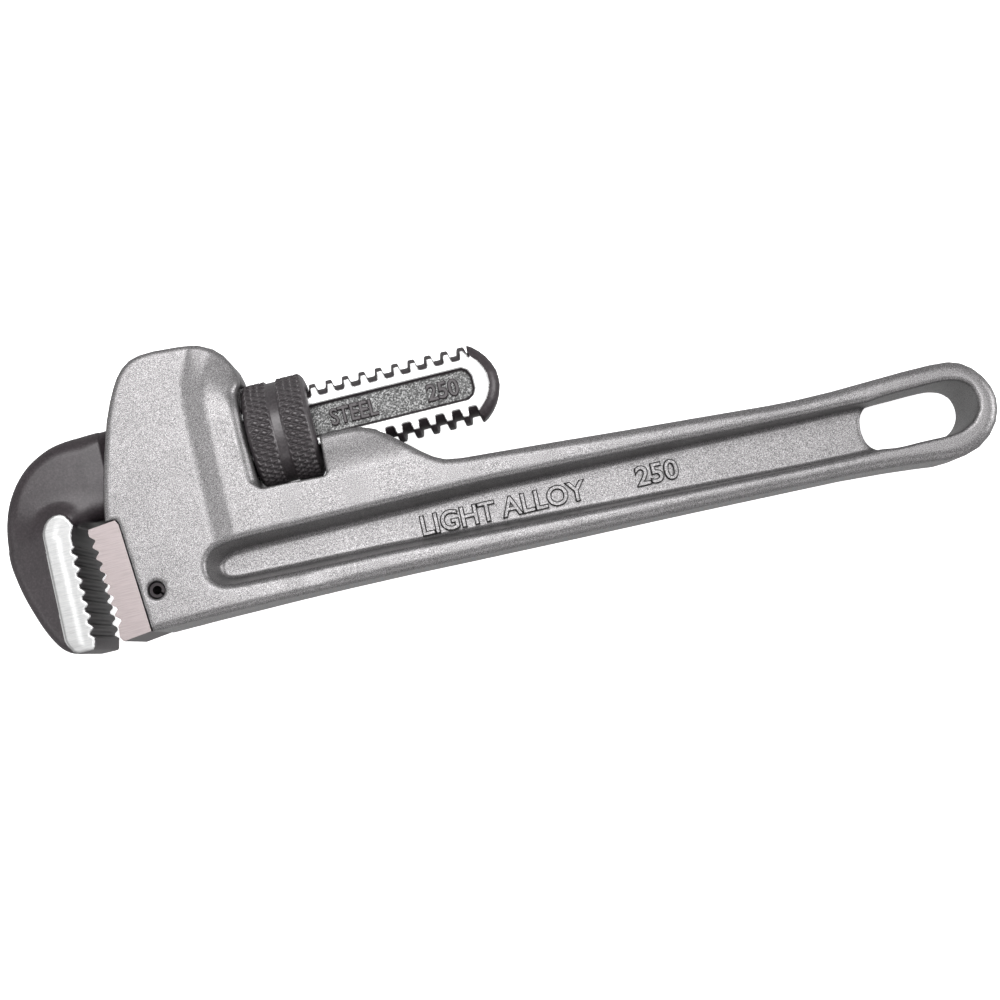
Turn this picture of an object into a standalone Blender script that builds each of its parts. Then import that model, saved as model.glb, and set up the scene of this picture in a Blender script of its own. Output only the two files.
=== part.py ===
"""Straight pipe wrench with an aluminium I-beam handle, nominal size 250 mm.

The wrench lies flat. X runs along the jaw shank towards the handle's end, Y runs from the handle towards
the adjusting nut, and Z is up through the thickness. Outlines are drawn in millimetres in the shank's own
frame: X = 0 at the teeth of the heel jaw, Y = 0 and Z = 0 on the shank's axis. The empty "wrench" carries
every piece and moves the bottom centre of the whole tool's box to the world's origin.
"""

import math

import bmesh
import bpy
from mathutils import Matrix, Vector

MM = 0.001

# Overall box, in the shank's frame
HOOK_LEFT = -18.4
HANDLE_RIGHT = 194.2
HANDLE_BOTTOM = -41.7
HOUSING_TOP = 21.8
HEAD_HALF = 13.2

# Screw thread of the shank and the nut, right-handed
PITCH = 3.68
CREST_RADIUS = 8.55
ROOT_RADIUS = 7.0
CREST_WIDTH = 1.3
ROOT_WIDTH = 1.75
THREAD_PHASE = 53.15
THREAD_CLEARANCE = 0.35
THREAD_STEPS = 32

# Hook jaw
SHANK_HALF = 4.8
SHANK_END = 91.7
THREAD_START = 31.0
PLAIN_HALF_HEIGHT = 8.5
HOOK_HALF = 12.1
PAD_HALF = 12.9
HOOK_EDGE_RADIUS = 2.2
PANEL_DEPTH = 0.6
PANEL_HALF = 3.85
PANEL_LEFT = 46.0
PANEL_RIGHT = 86.6

# Teeth
TOOTH_PITCH = 2.5
TOOTH_DEPTH = 0.9
HOOK_TOOTH_X = -3.1
HOOK_TOOTH_TOP = -14.65
HOOK_TOOTH_COUNT = 8
HEEL_TOOTH_X = 0.25
HEEL_TOOTH_TOP = -13.6
HEEL_TOOTH_COUNT = 8
HEEL_LEAN = 0.085

# Heel jaw and its roll pin
HEEL_HALF = 13.0
TANG_HALF = 4.5
PIN_CENTRE = (11.3, -27.8)
PIN_RADIUS = 1.6
PIN_BORE_RADIUS = 0.95
PIN_SLIT = 0.6
PIN_SLIT_TURN = math.radians(-45)
PIN_HALF_LENGTH = 11.8
PIN_HOLE_RADIUS = 1.9
GAP = 0.3

# Adjusting nut
NUT_LEFT = 36.9
NUT_LENGTH = 13.6
NUT_RADIUS = 11.55
NUT_GROOVE_RADIUS = 11.05
NUT_GROOVE_LEFT = 42.4
NUT_GROOVE_RIGHT = 45.0
NUT_CHAMFER = 1.1

# Casting: housing, bump and handle
THRUST_X = 36.4
SILL_Y = -11.95
BUMP_LEFT = 52.0
BUMP_TOP_HALF = 8.6
BUMP_SLOPE_START = -11.8
SLOT_HALF = 5.3
SLOT_FLOOR = -12.5
TUNNEL_HALF = 5.3
TUNNEL_FLOOR = -8.9
TUNNEL_ROOF = 12.4
WEB_HALF = 3.5
HANDLE_HALF_LEFT = 11.4
HANDLE_HALF_RIGHT = 10.3
HANDLE_TAPER_LEFT = 64.0
HANDLE_TAPER_RIGHT = 170.0
FLANGE_EDGE_RADIUS = 2.8
HEAD_EDGE_RADIUS = 1.3

# Springs inside the housing
LEAF_THICKNESS = 0.6
LEAF_HALF_WIDTH = 4.0
LEAF_PATH = (
    (10.5, 9.5), (11.2, 8.9), (12.4, 8.9), (15.5, 9.6), (19.0, 9.9), (23.0, 9.9), (26.5, 9.6), (29.6, 8.9),
    (30.8, 8.9), (31.5, 9.5),
)
COIL_X = 21.0
COIL_MEAN_RADIUS = 2.2
COIL_WIRE_RADIUS = 0.35
COIL_BOTTOM = 10.8
COIL_TOP = 18.4
COIL_TURNS = 6
COIL_POCKET_X = 21.8
COIL_POCKET_RADIUS = 3.7
COIL_POCKET_TOP = 19.5
RIVET_RADIUS = 1.1
RIVET_HOLE_RADIUS = 1.4
RIVET_HEAD_RADIUS = 1.7

# The jaw and nut rock as one about the nut's lower seat on the housing
ROCK_PIVOT = (THRUST_X, -NUT_RADIUS)

ROUND_STEP = math.radians(10)
CUT_MARGIN = 3.0

# Outlines of the casting
HANDLE_TOP = (
    (20, -13.5), (53, -13.5), (66, -14.3), (80, -15.8), (100, -17.3), (116, -18.6), (130, -19.6),
    (146, -20.8), (158, -21.2), (169, -20.9), (180, -20.7), (185, -20.8), (188.5, -21.9), (190.8, -23.8),
    (192.6, -26.3), (193.6, -28.6), (194.2, -30.6),
)
HANDLE_UNDERSIDE = (
    (20, -35.6), (36, -35.8), (64, -36.6), (77, -37.1), (127, -38.5),
    (160, -39.6), (170, -40.4), (178, -41.1),
    (182, -41.7), (185, -41.3), (188.5, -40.1), (190.8, -38.4),
    (192.6, -36.2), (193.6, -34.4), (194.2, -32.6),
)
HEAD_OUTLINE = (
    (64, -36.6), (64, -14.4), (52, -12.6), (45, -12.4), (36.4, -12.1),
    (36.4, 9.2), (38.7, 9.6), (38.8, 11.6),
    (38.5, 13.8), (37.6, 16.2), (36.2, 18.3), (34.2, 20.0), (31.5, 20.9),
    (27, 21.4), (22, 21.8), (18.6, 21.6),
    (16.4, 21.0), (14.6, 19.7), (13.2, 18.1), (12.0, 16.1), (10.6, 13.2),
    (9.0, 9.2), (7.6, 4.6), (6.4, 0.5),
    (5.3, -3.8), (4.5, -7.6), (3.9, -11.1), (4.0, -16), (4.4, -35.5), (20, -35.6), (36, -35.8),
)
BUMP_OUTLINE = (
    (51.9, -20), (51.9, -9), (51.9, -4.6), (52.7, -3.6), (58, -3.6), (61, -4.1), (63.2, -5.0), (66, -7.2),
    (69, -10.0), (72, -12.7), (74, -14.3), (76.5, -15.4), (80, -16.0), (86, -16.6), (86, -20),
)
POCKET_RIM = (
    (20.9, -26.2), (21.4, -28.6), (23.0, -30.8), (26.0, -31.9), (31, -32.1), (60, -33.1),
    (84, -33.9), (120, -35.1),
    (150, -36.0), (165, -36.2), (183.0, -36.3), (187.2, -35.1),
    (189.3, -32.4), (189.6, -28.8), (187.6, -25.9),
    (184, -24.9), (165, -25.0), (150, -24.2), (120, -22.6), (84, -20.7), (60, -20.2), (31, -19.9),
    (26.6, -20.3), (23.4, -21.4), (21.5, -23.7),
)
HOLE_CORNERS = ((165.2, -36.2, 5.2), (189.5, -36.3, 5.0), (189.5, -25.0, 4.6), (165.2, -25.1, 5.2))
HOOK_OUTLINE = (
    (-1.5, -9.8), (-1.5, 8.0), (-4.5, 7.4), (-7.5, 6.1), (-10.2, 4.4),
    (-12.6, 2.1), (-14.6, -0.6), (-16.2, -3.8),
    (-17.4, -7.4), (-18.1, -11.2), (-18.4, -14.6), (-17.8, -18.4), (-16.8, -22.4), (-15.5, -26.3),
    (-13.8, -30.2), (-12.2, -33.4), (-10.4, -35.6), (-8.2, -36.7),
    (-5.0, -36.9), (-5.0, -34), (-5.0, -12.4),
    (-3.8, -10.3),
)
# The step from the thick front of the housing down to the nut's side: y, then where the slope starts, where
# it ends, its height there, and the height at the housing's right edge
STEP_SECTIONS = (
    (-40, 25.4, 30.8, 11.45, 11.45), (8, 25.4, 30.8, 11.45, 11.45), (12.5, 26.2, 31.2, 11.6, 9.2),
    (16.5, 27.6, 32.0, 11.9, 8.9), (20, 30.4, 33.8, 12.1, 9.2), (30, 36, 38, 12.2, 10),
)
MOUTH_SECTIONS = (
    (-4, -12.6, 14.0, 12.0), (6, -12.6, 12.4, 11.2), (10, -12.4, 11.8, 10.4), (15, -9.2, 10.8, 5.0),
)
NECK_SECTIONS = (
    (-2.5, -10.3, 8.2, 11.2), (1.5, -10.3, 8.3, 10.2), (5.4, -9.9, 8.4, 9.4), (10, -8.5, 8.4, 4.7),
)
PAD_OUTLINE = (
    (-3.4, -34.8), (-3.9, -36.8), (-8.0, -36.8), (-9.5, -34.0), (-9.2, -11.0), (-8.6, -9.3), (-7.4, -7.9),
    (-5.8, -7.4), (-4.2, -7.8), (-3.0, -9.2), (-2.5, -10.6), (-3.3, -12.4), (-3.4, -14.2),
)
SHANK_CORNERS = (
    (THREAD_START, -9.2, 0), (85.9, -9.2, 2.0), (90.1, -6.0, 3.0), (SHANK_END, -1.9, 3.0),
    (SHANK_END, 1.9, 3.0), (90.1, 6.0, 3.0), (85.9, 9.2, 2.0), (THREAD_START, 9.2, 0),
)
PANEL_CORNERS = (
    (PANEL_LEFT, -PANEL_HALF, 0.4), (PANEL_RIGHT, -PANEL_HALF, 2.6), (PANEL_RIGHT, PANEL_HALF, 2.6),
    (PANEL_LEFT, PANEL_HALF, 0.4),
)
HEEL_OUTLINE = (
    (1.7, -35.6), (2.3, -36.6), (8.35, -35.9), (6.75, -12.6), (6.2, -11.5), (0.4, -12.1), (0.2, -12.9),
)
SEAT_OUTLINE = (
    (-2, -40), (8.96, -40), (7.08, -12.4), (6.5, -11.2), (-2, -11.7),
)


# ---------------------------------------------------------------- outlines

def rounded(corners):
    """A closed outline through (x, y, radius) corners, each rounded with an arc of its radius."""
    points = []
    count = len(corners)
    for index, (x, y, radius) in enumerate(corners):
        corner = Vector((x, y))
        before = Vector(corners[index - 1][:2]) - corner
        after = Vector(corners[(index + 1) % count][:2]) - corner
        if radius == 0:
            points.append((x, y))
            continue
        before.normalize()
        after.normalize()
        half = math.acos(max(-1, min(1, before.dot(after)))) / 2
        reach = radius / math.tan(half)
        centre = corner + (before + after).normalized() * (radius / math.sin(half))
        start = corner + before * reach - centre
        sweep = math.pi - 2 * half
        turn = 1 if before.x * after.y - before.y * after.x < 0 else -1
        steps = max(2, math.ceil(sweep / ROUND_STEP))
        for step in range(steps + 1):
            angle = turn * sweep * step / steps
            spoke = start.copy()
            spoke.rotate(Matrix.Rotation(angle, 2))
            points.append(tuple(centre + spoke))
    return points


def circle(x, y, radius, steps):
    turns = [2 * math.pi * step / steps for step in range(steps)]
    return [(x + radius * math.cos(turn), y + radius * math.sin(turn)) for turn in turns]


def tooth_row(tip_x, top, count, into, lean):
    """Points down a row of teeth. Valleys lie TOOTH_DEPTH from the tips, towards the side that into gives."""
    points = []
    for index in range(count):
        for share, depth in ((0.0, 0), (0.35, 1), (0.5, 1), (0.85, 0)):
            y = top - TOOTH_PITCH * (index + share)
            points.append((tip_x + lean * (top - y) + into * TOOTH_DEPTH * depth, y))
    return points


# ---------------------------------------------------------------- meshes

def make_object(name, mesh, parent, material=None):
    """An object whose mesh is drawn in the shank's frame, on the wrench itself or on its rocker."""
    obj = bpy.data.objects.new(name, mesh)
    bpy.context.scene.collection.objects.link(obj)
    obj.parent = parent
    if parent.parent:
        obj.location = -parent.location
    if material:
        mesh.materials.append(material)
    return obj


def mesh_of(name, vertices, faces, origin=(0, 0, 0)):
    """A mesh in metres from millimetre vertices, with its faces turned outwards."""
    shift = Vector(origin)
    mesh = bpy.data.meshes.new(name)
    mesh.from_pydata([(Vector(v) - shift) * MM for v in vertices], [], faces)
    shape = bmesh.new()
    shape.from_mesh(mesh)
    bmesh.ops.triangulate(shape, faces=shape.faces)
    bmesh.ops.recalc_face_normals(shape, faces=shape.faces)
    shape.to_mesh(mesh)
    shape.free()
    return mesh


def layered(name, layers, origin=(0, 0, 0)):
    """A solid through closed rings of equal length, with flat caps on the first and last ring."""
    size = len(layers[0])
    vertices = [point for ring in layers for point in ring]
    faces = [tuple(range(size)), tuple(range(len(vertices) - size, len(vertices)))]
    for layer in range(len(layers) - 1):
        for index in range(size):
            first = layer * size + index
            second = layer * size + (index + 1) % size
            faces.append((first, second, second + size, first + size))
    return mesh_of(name, vertices, faces, origin)


def prism(name, outline, low, high, origin=(0, 0, 0)):
    return layered(name, [[(x, y, z) for x, y in outline] for z in (low, high)], origin)


def turned(name, profile, steps, origin=(0, 0, 0)):
    """A solid of revolution about the X axis from (x, radius) points."""
    rings = [[(x, y, z) for y, z in circle(0, 0, radius, steps)] for x, radius in profile]
    return layered(name, rings, origin)


def stud(name, rings, x, steps, origin=(0, 0, 0)):
    """A solid of revolution about a line along Y at the given x, from (y, radius) points."""
    layers = [[(x + a, y, b) for a, b in circle(0, 0, radius, steps)] for y, radius in rings]
    return layered(name, layers, origin)


def threaded_rod(name, left, right, extra, origin=(0, 0, 0)):
    """A rod with a helical thread about X. extra widens its crests and lifts its radii by that much."""
    flank = (PITCH - CREST_WIDTH - ROOT_WIDTH) / 2
    crest = CREST_RADIUS + extra
    root = ROOT_RADIUS + extra
    half_crest = CREST_WIDTH / 2 + extra
    profile = (
        (-half_crest - flank, root),
        (-half_crest, crest),
        (half_crest, crest),
        (half_crest + flank, root),
    )
    first_turn = math.floor((left - THREAD_PHASE) / PITCH) - 1
    last_turn = math.ceil((right - THREAD_PHASE) / PITCH) + 2
    rows = []
    for turn in range(first_turn, last_turn):
        rows.extend((THREAD_PHASE + turn * PITCH + offset, radius) for offset, radius in profile)
    vertices = []
    for step in range(THREAD_STEPS + 1):
        angle = 2 * math.pi * step / THREAD_STEPS
        for x, radius in rows:
            advance = -PITCH * step / THREAD_STEPS
            vertices.append((x + advance, radius * math.sin(angle), radius * math.cos(angle)))
    count = len(rows)
    # After a whole turn a row meets the same profile point one pitch back, so the last column is dropped.
    per_turn = len(profile)

    def vertex(step, row):
        return step * count + row if step < THREAD_STEPS else row - per_turn

    faces = []
    for step in range(THREAD_STEPS):
        for row in range(per_turn, count - 1):
            below = (vertex(step, row), vertex(step + 1, row))
            faces.append(below + (vertex(step + 1, row + 1), vertex(step, row + 1)))
    left_rim = [vertex(step, per_turn) for step in range(THREAD_STEPS + 1)]
    left_rim += [row for row in range(1, per_turn + 1)][:-1]
    right_rim = [vertex(step, count - 1) for step in range(THREAD_STEPS + 1)]
    right_rim += [count - per_turn + row for row in range(0, per_turn - 1)]
    used = THREAD_STEPS * count
    vertices = vertices[:used]
    for rim, x in ((left_rim, vertices[0][0]), (right_rim, vertices[count - 1][0])):
        centre = len(vertices)
        vertices.append((x, 0, 0))
        for index, here in enumerate(rim):
            faces.append((here, rim[(index + 1) % len(rim)], centre))
    kept = sorted({index for face in faces for index in face})
    renumber = {old: new for new, old in enumerate(kept)}
    faces = [tuple(renumber[index] for index in face) for face in faces]
    return mesh_of(name, [vertices[index] for index in kept], faces, origin)


def wire_coil(name, x, low, high, mean_radius, wire_radius, turns, origin=(0, 0, 0)):
    """A round-wire coil about a line along Y."""
    steps_per_turn = 18
    total = turns * steps_per_turn
    rings = []
    climb = (high - low - 2 * wire_radius) / total
    for step in range(total + 1):
        angle = 2 * math.pi * step / steps_per_turn
        outward = Vector((math.cos(angle), 0, math.sin(angle)))
        centre = outward * mean_radius + Vector((x, low + wire_radius + climb * step, 0))
        rings.append([
            tuple(centre + (outward * math.cos(turn) + Vector((0, math.sin(turn), 0))) * wire_radius)
            for turn in (math.pi * side / 3 for side in range(6))
        ])
    return layered(name, rings, origin)


# ---------------------------------------------------------------- modifiers

def boolean(obj, mesh, operation, parent):
    """Cuts or joins a helper solid, which stays in the file as a wire guide."""
    helper = make_object(mesh.name, mesh, parent)
    helper.hide_render = True
    helper.display_type = "WIRE"
    modifier = obj.modifiers.new(mesh.name, "BOOLEAN")
    modifier.operation = operation
    modifier.solver = "EXACT"
    modifier.object = helper
    return helper


def shade(obj, degrees=35):
    obj.data.shade_smooth()
    obj.data.set_sharp_from_angle(angle=math.radians(degrees))


def material(name, colour, metallic, roughness):
    made = bpy.data.materials.new(name)
    made.use_nodes = True
    shader = made.node_tree.nodes["Principled BSDF"]
    shader.inputs["Base Color"].default_value = (*colour, 1)
    shader.inputs["Metallic"].default_value = metallic
    shader.inputs["Roughness"].default_value = roughness
    return made


# ---------------------------------------------------------------- lofts

def inset(outline, distance):
    """The outline moved inwards, its corners mitred. distance may be a number or a function of x."""
    count = len(outline)
    area = sum(
        outline[index - 1][0] * outline[index][1] - outline[index][0] * outline[index - 1][1]
        for index in range(count)
    )
    side = 1 if area > 0 else -1
    moved = []
    for index, (x, y) in enumerate(outline):
        here = Vector((x, y))
        before = (here - Vector(outline[index - 1])).normalized()
        after = (Vector(outline[(index + 1) % count]) - here).normalized()
        normal = Vector((-before.y - after.y, before.x + after.x)) * side
        normal.normalize()
        square = Vector((-after.y, after.x)) * side
        depth = distance(x) if callable(distance) else distance
        moved.append(tuple(here + normal * (depth / max(0.5, normal.dot(square)))))
    return moved


def rounded_slab(name, outline, half, radius, steps=3):
    """A plate of the outline, with both rims rounded to the radius."""
    layers = []
    for step in range(steps + 1):
        turn = math.pi / 2 * step / steps
        depth = radius * (1 - math.cos(turn))
        layers.append([(x, y, half - radius + radius * math.sin(turn)) for x, y in inset(outline, depth)])
    below = [[(x, y, -z) for x, y, z in ring] for ring in reversed(layers)]
    return layered(name, below + layers)


def at(chain, x):
    """The chain's y at x, by straight lines between its points."""
    for (x0, y0), (x1, y1) in zip(chain, chain[1:]):
        if x <= x1:
            return y0 + (y1 - y0) * (x - x0) / (x1 - x0)
    return chain[-1][1]


def handle_half(x):
    share = (x - HANDLE_TAPER_LEFT) / (HANDLE_TAPER_RIGHT - HANDLE_TAPER_LEFT)
    return HANDLE_HALF_LEFT + (HANDLE_HALF_RIGHT - HANDLE_HALF_LEFT) * max(0, min(1, share))


def handle_bar():
    """The outside of the I-beam handle, lofted along X through round-cornered sections."""
    stations = sorted({x for x, _ in HANDLE_TOP} | {x for x, _ in HANDLE_UNDERSIDE})
    end = stations[-1]
    layers = []
    for x in stations:
        top = at(HANDLE_TOP, x)
        low = at(HANDLE_UNDERSIDE, x)
        edge = HEAD_EDGE_RADIUS + (FLANGE_EDGE_RADIUS - HEAD_EDGE_RADIUS) * max(0, min(1, (x - 64) / 36))
        short = max(0.0, 1 - (end - x) / FLANGE_EDGE_RADIUS)
        half = handle_half(x) - FLANGE_EDGE_RADIUS * (1 - math.sqrt(1 - short * short))
        radius = min(edge, (top - low) / 2 - 0.4)
        ring = []
        for y, z, first in ((top, half, 90), (top, -half, 0), (low, -half, -90), (low, half, -180)):
            cy = y - radius if y == top else y + radius
            cz = z - radius if z > 0 else z + radius
            for step in range(4):
                turn = math.radians(first - 30 * step)
                ring.append((x, cy + radius * math.cos(turn), cz + radius * math.sin(turn)))
        layers.append(ring)
    return layered("handle", layers)


# ---------------------------------------------------------------- pieces

def section_loft(name, sections, origin=(0, 0, 0)):
    """A solid along X through (x, low y, high y, half width) sections."""
    rings = [
        [(x, low, -half), (x, top, -half), (x, top, half), (x, low, half)]
        for x, low, top, half in sections
    ]
    return layered(name, rings, origin)


def build_handle(parent, paint):
    handle = make_object("handle", handle_bar(), parent, paint)
    reach = HEAD_HALF + CUT_MARGIN

    def cut(mesh):
        boolean(handle, mesh, "DIFFERENCE", parent)

    boolean(handle, rounded_slab("head_block", HEAD_OUTLINE, HEAD_HALF, HEAD_EDGE_RADIUS), "UNION", parent)
    bump = [
        [(x, min(y, BUMP_SLOPE_START), -HANDLE_HALF_LEFT) for x, y in BUMP_OUTLINE],
        [(x, y, -BUMP_TOP_HALF) for x, y in BUMP_OUTLINE],
        [(x, y, BUMP_TOP_HALF) for x, y in BUMP_OUTLINE],
        [(x, min(y, BUMP_SLOPE_START), HANDLE_HALF_LEFT) for x, y in BUMP_OUTLINE],
    ]
    boolean(handle, layered("nut_bump", bump), "UNION", parent)
    floor = inset(POCKET_RIM, lambda x: 3.0 - 2.7 * max(0, min(1, (x - 60) / 100)))
    for name, side in (("upper", 1), ("lower", -1)):
        cut(layered("pocket_" + name, [
            [(x, y, side * WEB_HALF) for x, y in floor],
            [(x, y, side * HEAD_HALF) for x, y in POCKET_RIM],
            [(x, y, side * reach) for x, y in POCKET_RIM],
        ]))
        cut(layered("head_step_" + name, [
            [(x, y, side * z) for x, z in (
                (start - 2.8, HEAD_HALF + 1), (start, HEAD_HALF), (end, low),
                (66, edge), (66, reach), (start - 2.8, reach),
            )]
            for y, start, end, low, edge in STEP_SECTIONS
        ]))
    cut(prism("hang_hole", rounded(HOLE_CORNERS), -reach, reach))
    window = ((THRUST_X, SILL_Y), (BUMP_LEFT, SILL_Y - 0.75), (BUMP_LEFT, 9.2), (THRUST_X, 9.2))
    cut(prism("nut_window", window, -reach, reach))
    cut(turned("nut_arch", [(THRUST_X, NUT_RADIUS + 0.5), (BUMP_LEFT, NUT_RADIUS + 1.2)], 48))
    cut(section_loft("shank_tunnel", [
        (-2, TUNNEL_FLOOR, TUNNEL_ROOF, TUNNEL_HALF),
        (THRUST_X + 8, TUNNEL_FLOOR, TUNNEL_ROOF, TUNNEL_HALF),
    ]))
    cut(section_loft("tunnel_mouth", MOUTH_SECTIONS))
    slot = ((BUMP_LEFT - 2, SLOT_FLOOR), (100, SLOT_FLOOR), (100, 0), (BUMP_LEFT - 2, 0))
    cut(prism("rack_slot", slot, -SLOT_HALF, SLOT_HALF))
    cut(prism("heel_seat", SEAT_OUTLINE, -reach, reach))
    tang = rounded(((7, -32.3, 0), (16.0, -32.3, 1), (16.0, -23.3, 1), (7, -23.3, 0)))
    cut(prism("tang_pocket", tang, -TANG_HALF - GAP, TANG_HALF + GAP))
    cut(prism("pin_hole", circle(*PIN_CENTRE, PIN_HOLE_RADIUS, 28), -reach, reach))
    coil_pocket = [(10.0, COIL_POCKET_RADIUS), (COIL_POCKET_TOP, COIL_POCKET_RADIUS)]
    cut(stud("coil_pocket", coil_pocket, COIL_POCKET_X, 24))
    return handle


def build_heel_jaw(parent, steel):
    teeth = tooth_row(HEEL_TOOTH_X, HEEL_TOOTH_TOP, HEEL_TOOTH_COUNT, 1, HEEL_LEAN)
    block = prism("heel_jaw", list(HEEL_OUTLINE) + teeth, -HEEL_HALF, HEEL_HALF)
    heel = make_object("heel_jaw", block, parent, steel)
    tang = rounded(((7, -32.0, 0), (15.7, -32.0, 1), (15.7, -23.6, 1), (7, -23.6, 0)))
    boolean(heel, prism("heel_tang", tang, -TANG_HALF, TANG_HALF), "UNION", parent)
    hole = prism("tang_hole", circle(*PIN_CENTRE, PIN_HOLE_RADIUS, 28), -TANG_HALF - 1, TANG_HALF + 1)
    boolean(heel, hole, "DIFFERENCE", parent)
    return heel


def build_pin(parent, steel):
    """A roll pin: a tube with a slit along it."""
    slit = math.asin(PIN_SLIT / 2 / PIN_RADIUS)
    sweep = 2 * math.pi - 2 * slit
    outline = []
    for radius, steps in ((PIN_RADIUS, range(29)), (PIN_BORE_RADIUS, range(28, -1, -1))):
        for step in steps:
            turn = PIN_SLIT_TURN + slit + sweep * step / 28
            outline.append((PIN_CENTRE[0] + radius * math.cos(turn), PIN_CENTRE[1] + radius * math.sin(turn)))
    mesh = prism("heel_jaw_pin", outline, -PIN_HALF_LENGTH, PIN_HALF_LENGTH)
    return make_object("heel_jaw_pin", mesh, parent, steel)


def build_hook_jaw(parent, steel):
    hook_mesh = rounded_slab("hook_jaw", HOOK_OUTLINE, HOOK_HALF, HOOK_EDGE_RADIUS)
    hook = make_object("hook_jaw", hook_mesh, parent, steel)
    teeth = tooth_row(HOOK_TOOTH_X, HOOK_TOOTH_TOP, HOOK_TOOTH_COUNT, -1, 0)
    pad = list(PAD_OUTLINE) + teeth
    boolean(hook, prism("tooth_pad", pad, -PAD_HALF, PAD_HALF), "UNION", parent)
    boolean(hook, section_loft("neck_slope", NECK_SECTIONS), "UNION", parent)
    plain = ((0, -PLAIN_HALF_HEIGHT), (THREAD_START + 1, -PLAIN_HALF_HEIGHT))
    plain += ((THREAD_START + 1, PLAIN_HALF_HEIGHT), (0, PLAIN_HALF_HEIGHT))
    boolean(hook, prism("plain_shank", plain, -SHANK_HALF, SHANK_HALF), "UNION", parent)
    shank_mesh = prism("threaded_shank", rounded(SHANK_CORNERS), -SHANK_HALF, SHANK_HALF)
    shank = make_object("threaded_shank", shank_mesh, parent)
    boolean(shank, threaded_rod("shank_thread", THREAD_START - 2, SHANK_END + 2, 0), "INTERSECT", parent)
    shank.hide_render = True
    shank.display_type = "WIRE"
    modifier = hook.modifiers.new("threaded_shank", "BOOLEAN")
    modifier.operation = "UNION"
    modifier.solver = "EXACT"
    modifier.object = shank
    floor = SHANK_HALF - PANEL_DEPTH
    for name, low, high in (("upper", floor, SHANK_HALF + 2), ("lower", -SHANK_HALF - 2, -floor)):
        boolean(hook, prism("panel_" + name, rounded(PANEL_CORNERS), low, high), "DIFFERENCE", parent)
    return hook


def build_nut(parent, steel):
    """The adjusting nut, with its origin in its own middle on the shank's axis."""
    middle = (NUT_LEFT + NUT_LENGTH / 2, 0, 0)
    right = NUT_LEFT + NUT_LENGTH
    profile = (
        (NUT_LEFT, NUT_RADIUS - NUT_CHAMFER), (NUT_LEFT + NUT_CHAMFER, NUT_RADIUS),
        (NUT_GROOVE_LEFT, NUT_RADIUS), (NUT_GROOVE_LEFT + 0.3, NUT_GROOVE_RADIUS),
        (NUT_GROOVE_RIGHT - 0.3, NUT_GROOVE_RADIUS), (NUT_GROOVE_RIGHT, NUT_RADIUS),
        (right - NUT_CHAMFER, NUT_RADIUS), (right - 0.4, NUT_RADIUS - 1.6), (right, NUT_RADIUS - 3.2),
    )
    nut = make_object("adjusting_nut", turned("adjusting_nut", profile, 64, middle), parent, steel)
    nut.location += Vector(middle) * MM
    thread = threaded_rod("nut_thread", NUT_LEFT - 4, right + 4, THREAD_CLEARANCE)
    boolean(nut, thread, "DIFFERENCE", parent)
    return nut


def build_springs(parent, steel):
    """The bowed strip on the shank, the coil above it, and the rivet that holds them together."""
    lower = [(x, y) for x, y in LEAF_PATH]
    upper = [(x, y + LEAF_THICKNESS) for x, y in reversed(LEAF_PATH)]
    leaf_mesh = prism("flat_spring", lower + upper, -LEAF_HALF_WIDTH, LEAF_HALF_WIDTH)
    leaf = make_object("flat_spring", leaf_mesh, parent, steel)
    hole = stud("rivet_hole", [(8, RIVET_HOLE_RADIUS), (12, RIVET_HOLE_RADIUS)], COIL_X, 20)
    boolean(leaf, hole, "DIFFERENCE", parent)
    coil_mesh = wire_coil(
        "coil_spring", COIL_X, COIL_BOTTOM, COIL_TOP, COIL_MEAN_RADIUS, COIL_WIRE_RADIUS, COIL_TURNS
    )
    make_object("coil_spring", coil_mesh, parent, steel)
    rivet_mesh = stud("spring_rivet", [
        (9.1, RIVET_HEAD_RADIUS - 0.3), (9.4, RIVET_HEAD_RADIUS), (9.8, RIVET_HEAD_RADIUS),
        (9.8, RIVET_RADIUS), (12.2, RIVET_RADIUS), (12.5, RIVET_RADIUS - 0.3),
    ], COIL_X, 20)
    make_object("spring_rivet", rivet_mesh, parent, steel)


def build():
    for obj in list(bpy.data.objects):
        bpy.data.objects.remove(obj)
    wrench = bpy.data.objects.new("wrench", None)
    bpy.context.scene.collection.objects.link(wrench)
    middle = ((HOOK_LEFT + HANDLE_RIGHT) / 2, (HANDLE_BOTTOM + HOUSING_TOP) / 2)
    wrench.location = Vector((-middle[0], -middle[1], HEAD_HALF)) * MM
    rocker = bpy.data.objects.new("rocker", None)
    bpy.context.scene.collection.objects.link(rocker)
    rocker.parent = wrench
    rocker.location = Vector((*ROCK_PIVOT, 0)) * MM
    paint = material("aluminium_paint", (0.62, 0.62, 0.63), 0.6, 0.5)
    black = material("black_oxide", (0.03, 0.03, 0.032), 0.5, 0.45)
    ground = material("ground_steel", (0.66, 0.61, 0.61), 0.9, 0.4)
    spring = material("spring_steel", (0.35, 0.35, 0.36), 0.9, 0.35)
    build_handle(wrench, paint)
    build_heel_jaw(wrench, ground)
    build_pin(wrench, spring)
    build_hook_jaw(rocker, black)
    build_nut(rocker, black)
    build_springs(rocker, spring)
    for obj in bpy.data.objects:
        if obj.type == "MESH" and not obj.hide_render:
            shade(obj)


build()
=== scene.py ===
import math

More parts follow.
